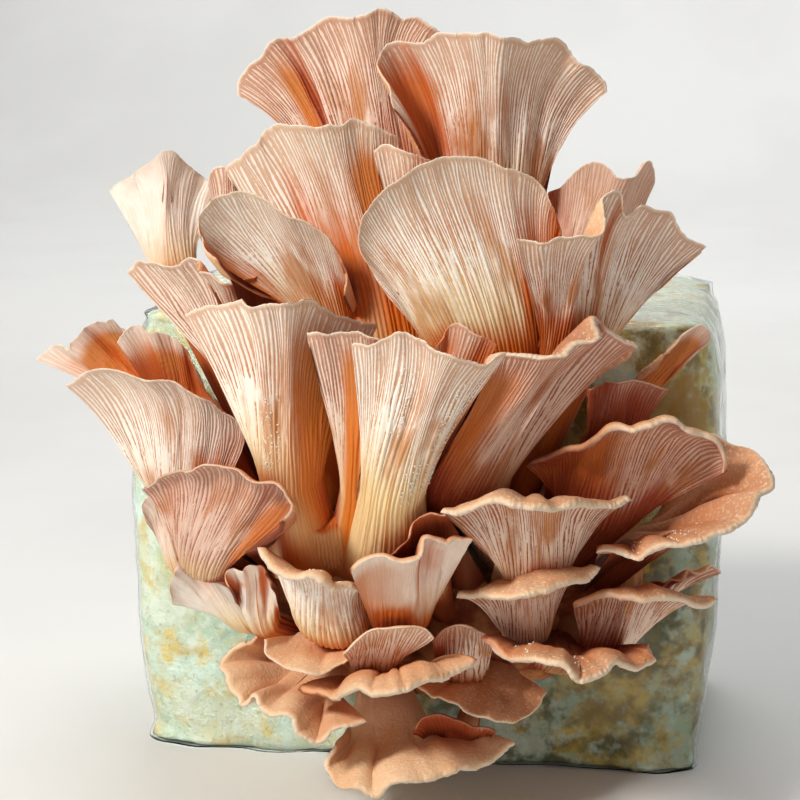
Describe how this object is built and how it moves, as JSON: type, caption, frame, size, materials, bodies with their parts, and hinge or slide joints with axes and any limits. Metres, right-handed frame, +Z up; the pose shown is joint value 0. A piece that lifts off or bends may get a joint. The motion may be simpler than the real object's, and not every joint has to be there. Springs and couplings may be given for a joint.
{
  "type": "oyster mushroom grow kit",
  "caption": "Bagged block of sawdust and white mycelium with a dense flush of pink oyster mushrooms fanning out from its front.",
  "frame": {"origin": "middle of the flat base of the bagged block, on the surface it stands on", "axes": "-Y towards the mushrooms at the front, +X to the viewer's right, +Z up"},
  "size_m": [0.2455, 0.222, 0.256],
  "materials": {
    "substrate": "white mycelium grown over pressed sawdust, with damp amber patches",
    "clear_film": "thin clear bag film, glossy, with fine creases and droplets",
    "base_tissue": "smooth dense mushroom tissue",
    "mushroom_flesh": "velvety salmon-pink caps, cream gills, orange between the gills"
  },
  "bodies": {
    "root": {"substrate_block": "substrate", "grow_bag": "clear_film", "cluster_base": "base_tissue", "mushroom_top_left": "mushroom_flesh", "mushroom_top_right": "mushroom_flesh", "mushroom_upper_right_back": "mushroom_flesh", "mushroom_upper_left_outer": "mushroom_flesh", "mushroom_upper_left_curl": "mushroom_flesh", "mushroom_second_left": "mushroom_flesh", "mushroom_second_wedge": "mushroom_flesh", "mushroom_left_round": "mushroom_flesh", "mushroom_centre_round": "mushroom_flesh", "mushroom_right_fold": "mushroom_flesh", "mushroom_left_middle": "mushroom_flesh", "mushroom_front_left": "mushroom_flesh", "mushroom_front_centre_left": "mushroom_flesh", "mushroom_front_centre": "mushroom_flesh", "mushroom_front_centre_curl": "mushroom_flesh", "mushroom_right_centre": "mushroom_flesh", "mushroom_right_slim": "mushroom_flesh", "mushroom_right_small": "mushroom_flesh", "mushroom_right_bracket": "mushroom_flesh", "mushroom_far_right": "mushroom_flesh", "mushroom_centre_right_shelf": "mushroom_flesh", "mushroom_far_left_small": "mushroom_flesh", "mushroom_left_behind": "mushroom_flesh", "mushroom_left_large": "mushroom_flesh", "mushroom_left_lower": "mushroom_flesh", "mushroom_left_frill": "mushroom_flesh", "mushroom_centre_shelf": "mushroom_flesh", "mushroom_centre_wavy": "mushroom_flesh", "mushroom_centre_fold": "mushroom_flesh", "mushroom_lower_left_pale": "mushroom_flesh", "mushroom_lower_left_bud": "mushroom_flesh", "mushroom_lower_centre_fold": "mushroom_flesh", "mushroom_lower_centre_small": "mushroom_flesh", "mushroom_lower_right_small": "mushroom_flesh", "mushroom_right_low_shelf": "mushroom_flesh", "mushroom_lower_right_shelf": "mushroom_flesh", "mushroom_right_ruffle": "mushroom_flesh", "mushroom_lower_right_cap": "mushroom_flesh", "mushroom_lower_right_smooth": "mushroom_flesh", "mushroom_lower_centre_frilled": "mushroom_flesh", "mushroom_lower_left_frilled": "mushroom_flesh", "mushroom_bottom": "mushroom_flesh", "mushroom_bottom_small": "mushroom_flesh"}
  },
  "joints": []
}
